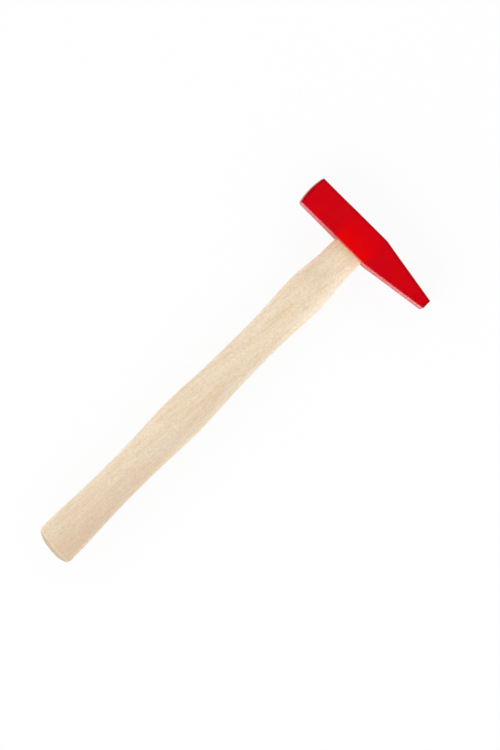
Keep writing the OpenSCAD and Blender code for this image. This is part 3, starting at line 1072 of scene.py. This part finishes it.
# %% Name the wedges' sizes
# The two spare sizes and the one past the top let each cutting body reach out of the tenon.
WEDGE_GAP = 0.05 * MM
WOOD_DEPTH = 15.0 * MM
WOOD_TOP = 2.6 * MM
WOOD_TIP = 0.9 * MM
KERF_SPARE = 1.2 * MM
SPARE_WIDTH = 4.0 * MM
PAST_TOP = 1.0 * MM
STEEL_DEPTH = 11.0 * MM
STEEL_WIDTH = 8.8 * MM
STEEL_TOP = 2.2 * MM
STEEL_TIP = 0.6 * MM
STEEL_SINK = 0.2 * MM
BARB_COUNT = 4
BARB_PITCH = 2.0 * MM
BARB_START = 1.4 * MM
BARB_DEPTH = 0.3 * MM
MOUTH_DEPTH = 1.3 * MM
MOUTH_STEP = 0.2 * MM
FLUSH_DEPTH = 0.3 * MM
print("wedges reach into the tenon, mm:", [round(v / MM) for v in (WOOD_DEPTH, STEEL_DEPTH)])


# %% Draw a tapered slab
def turn_outward(piece):
    """Turns every face of a closed piece outward."""
    shape = bmesh.new()
    shape.from_mesh(piece.data)
    bmesh.ops.recalc_face_normals(shape, faces=shape.faces)
    shape.to_mesh(piece.data)
    shape.free()
    return piece


def slab(name, side, span, across_y):
    """A solid from [x, half thickness] pairs, thick along Z and wide along Y, or the other way."""
    outline = list(side) + [(x_at, -half) for x_at, half in reversed(side)]
    count = len(outline)
    points = []
    for s in (-span / 2, span / 2):
        for x_at, t in outline:
            y_at, z_at = (s, t) if across_y else (t, s)
            points.append((x_at, y_at, axis_z + z_at))
    faces = [list(range(count)), list(range(2 * count - 1, count - 1, -1))]
    faces += [
        (i, i + count, (i + 1) % count + count, (i + 1) % count) for i in range(count)
    ]
    mesh = bpy.data.meshes.new(name)
    mesh.from_pydata(points, [], faces)
    mesh.validate()
    return turn_outward(place(name, mesh))


def taper(depth, top, tip, past_top, grow):
    """Half thickness of a wedge's seat at a height over the tenon's end."""
    return (top + (top - tip) * past_top / depth) / 2 + grow


halfway = 2 * taper(WOOD_DEPTH, WOOD_TOP, WOOD_TIP, -WOOD_DEPTH / 2, 0)
print("wooden wedge halfway down, mm thick:", round(halfway / MM, 2))

# %% Saw the tenon
wide = EYE_LENGTH + SPARE_WIDTH
kerf = slab(
    "kerf",
    [
        (tenon_top + PAST_TOP, taper(WOOD_DEPTH, WOOD_TOP, WOOD_TIP, PAST_TOP, WEDGE_GAP)),
        (tenon_top - WOOD_DEPTH, WOOD_TIP / 2 + WEDGE_GAP),
        (tenon_top - WOOD_DEPTH - KERF_SPARE, WOOD_TIP / 2 + WEDGE_GAP),
    ],
    wide, True,
)
steel_top_x = tenon_top - STEEL_SINK
steel_tip_x = steel_top_x - STEEL_DEPTH
torn_by = MOUTH_DEPTH + MOUTH_STEP
slope_at = [
    (tenon_top + PAST_TOP, PAST_TOP + STEEL_SINK, WEDGE_GAP),
    (steel_top_x - MOUTH_DEPTH, -MOUTH_DEPTH, WEDGE_GAP),
    (steel_top_x - torn_by, -torn_by, WEDGE_GAP + BARB_DEPTH),
    (steel_tip_x - WEDGE_GAP, -STEEL_DEPTH, WEDGE_GAP + BARB_DEPTH),
]
steel_seat = slab(
    "steel_seat",
    [
        (x_at, taper(STEEL_DEPTH, STEEL_TOP, STEEL_TIP, past, gap))
        for x_at, past, gap in slope_at
    ],
    STEEL_WIDTH + 2 * WEDGE_GAP, False,
)
turn_outward(handle)
carve(handle, kerf)
carve(handle, steel_seat)
soften(handle, 50)
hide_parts("handle")
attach(handle, "root")
print("sawn handle:", len(handle.data.polygons), "faces")

# %% [markdown]
# ## The wooden wedge
# The wooden wedge is as long as the eye and is cut off flush with the tenon, so its ends
# follow the tenon's oval. The tenon's own skin, without its saw cut, trims it to that shape.

# %% Cut the wooden wedge
# A second row of points just below its top keeps the end grain to the top face.
wooden = slab(
    "wooden_wedge_piece",
    [
        (tenon_top, WOOD_TOP / 2),
        (tenon_top - FLUSH_DEPTH, taper(WOOD_DEPTH, WOOD_TOP, WOOD_TIP, -FLUSH_DEPTH, 0)),
        (tenon_top - WOOD_DEPTH, WOOD_TIP / 2),
    ],
    wide, True,
)
trimmer = grow_mesh("tenon_trimmer", tree, sockets, values)
turn_outward(trimmer)
carve(wooden, trimmer, "INTERSECT")
carve(wooden, steel_seat)
on_top = [v.co.x > tenon_top - FLUSH_DEPTH / 3 for v in wooden.data.vertices]
mark(wooden.data, "end_grain", on_top)
soften(wooden, 30)
wooden.data.materials.clear()
wooden.data.materials.append(wedge_beech)
for tool in (kerf, steel_seat, trimmer):
    bpy.data.objects.remove(tool)
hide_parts("wooden_wedge")
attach(wooden, "root")
print("wooden wedge:", len(wooden.data.polygons), "faces")

# %% [markdown]
# ## The steel wedge
# The steel wedge is pressed from bar and left bare. Its flanks carry barbs that let it in
# and hold it there. Geometry Nodes repeat one barb along each flank: a line of points climbs
# the taper, and every point holds the same ramp. Hammering has dulled its edges.

# %% Mix the bare steel
# It is dull and mottled grey, with a little brown where rust has begun.
MOTTLE_SIZE = 0.8 * MM
DENT_DEPTH = 0.03 * MM
bare_steel, tree, shader = new_material("hammered_bare_steel")
shader.inputs["Metallic"].default_value = 1.0
where = add(tree, "ShaderNodeTexCoord")
mottle = add(
    tree, "ShaderNodeTexNoise", where.outputs["Object"],
    named={"Scale": 1 / MOTTLE_SIZE, "Detail": 4.0},
)
rust = add(tree, RANGE, named={"Value": mottle, "From Min": 0.55, "From Max": 0.8})
colour = add(
    tree, MIX, rust,
    named={6: linear("#b2b4b6"), 7: linear("#7d7468")},
    data_type="RGBA",
)
tree.links.new(colour.outputs[2], shader.inputs["Base Color"])
worn = add(tree, RANGE, named={"Value": mottle, "To Min": 0.3, "To Max": 0.55})
tree.links.new(worn.outputs[0], shader.inputs["Roughness"])
dents = add(
    tree, "ShaderNodeBump",
    named={"Strength": 0.6, "Distance": DENT_DEPTH, "Height": mottle},
)
tree.links.new(dents.outputs[0], shader.inputs["Normal"])
print("steel nodes:", len(tree.nodes))

# %% Build the barbs' node tree
inputs = {
    "Wedge": "NodeSocketObject", "Barb": "NodeSocketObject", "Barbs": "NodeSocketInt",
    "First barb": "NodeSocketVector", "Next barb": "NodeSocketVector",
    "Steel": "NodeSocketMaterial",
}
tree, sockets, given = new_tree("barbed_flanks", "Wedge", inputs)
body = add(tree, "GeometryNodeObjectInfo", given["Wedge"])
barb = add(tree, "GeometryNodeObjectInfo", given["Barb"])
line = add(
    tree, "GeometryNodeMeshLine",
    named={
        "Count": given["Barbs"], "Start Location": given["First barb"],
        "Offset": given["Next barb"],
    },
)
flank = add(
    tree, "GeometryNodeInstanceOnPoints", line, named={"Instance": barb.outputs["Geometry"]}
)
turned = add(tree, "GeometryNodeTransform", flank, named={"Rotation": (math.pi, 0, 0)})
both = add(tree, "GeometryNodeJoinGeometry", flank)
tree.links.new(turned.outputs[0], both.inputs[0])
lifted = add(tree, "GeometryNodeTransform", both, named={"Translation": (0, 0, axis_z)})
solid = add(tree, "GeometryNodeRealizeInstances", lifted)
welded = add(
    tree, "GeometryNodeMeshBoolean", operation="UNION", solver="EXACT",
    named={"Mesh 2": body.outputs["Geometry"]},
)
tree.links.new(solid.outputs[0], welded.inputs["Mesh 2"])
plain_wedge = add(tree, "GeometryNodeRealizeInstances", welded.outputs["Mesh"])
add(
    tree, "NodeGroupOutput",
    add(tree, "GeometryNodeSetMaterial", plain_wedge, None, given["Steel"]),
)
print("barb tree:", len(tree.nodes), "nodes")

# %% Make the wedge's body and one barb
# The ramps follow the body's flank. They are sunk a little into it and are a hair narrower,
# so that the union is clean.
RAMP_SINK = 0.1 * MM
HAIR = 0.02 * MM
steel_body = slab(
    "steel_body",
    [(steel_top_x, STEEL_TOP / 2), (steel_tip_x, STEEL_TIP / 2)],
    STEEL_WIDTH, False,
)
climb = (STEEL_TOP - STEEL_TIP) / 2 / STEEL_DEPTH
foot = steel_tip_x + BARB_START
first_half = STEEL_TIP / 2 + climb * BARB_START
ramp = slab(
    "barb_ramp",
    [(BARB_PITCH, BARB_DEPTH + climb * BARB_PITCH + RAMP_SINK), (HAIR, RAMP_SINK)],
    STEEL_WIDTH - HAIR, False,
)
for vertex in ramp.data.vertices:
    vertex.co.z -= axis_z
    if vertex.co.y < 0:
        vertex.co.y = -RAMP_SINK + climb * vertex.co.x
    else:
        vertex.co.y -= RAMP_SINK
turn_outward(ramp)
print("each flank leans by, degrees:", round(math.degrees(math.atan(climb)), 1))

# %% Press the steel wedge
DULLED = 0.12 * MM
steel = grow_mesh(
    "steel_wedge_piece", tree, sockets,
    {
        "Wedge": steel_body, "Barb": ramp, "Barbs": BARB_COUNT,
        "First barb": (foot, first_half, 0.0),
        "Next barb": (BARB_PITCH, climb * BARB_PITCH, 0.0),
        "Steel": bare_steel,
    },
)
bevel = steel.modifiers.new("dulled_edges", "BEVEL")
bevel.width = DULLED
bevel.segments = 2
bevel.limit_method = "ANGLE"
settle(steel)
soften(steel, 35)
for tool in (steel_body, ramp):
    bpy.data.objects.remove(tool)
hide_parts("steel_wedge")
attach(steel, "root")
print("steel wedge:", len(steel.data.polygons), "faces")

# %% [markdown]
# ## The last look
# Every piece rides on the hammer's one rigid body.

# %% Show colours as written and finish
bpy.context.scene.view_settings.view_transform = "Standard"
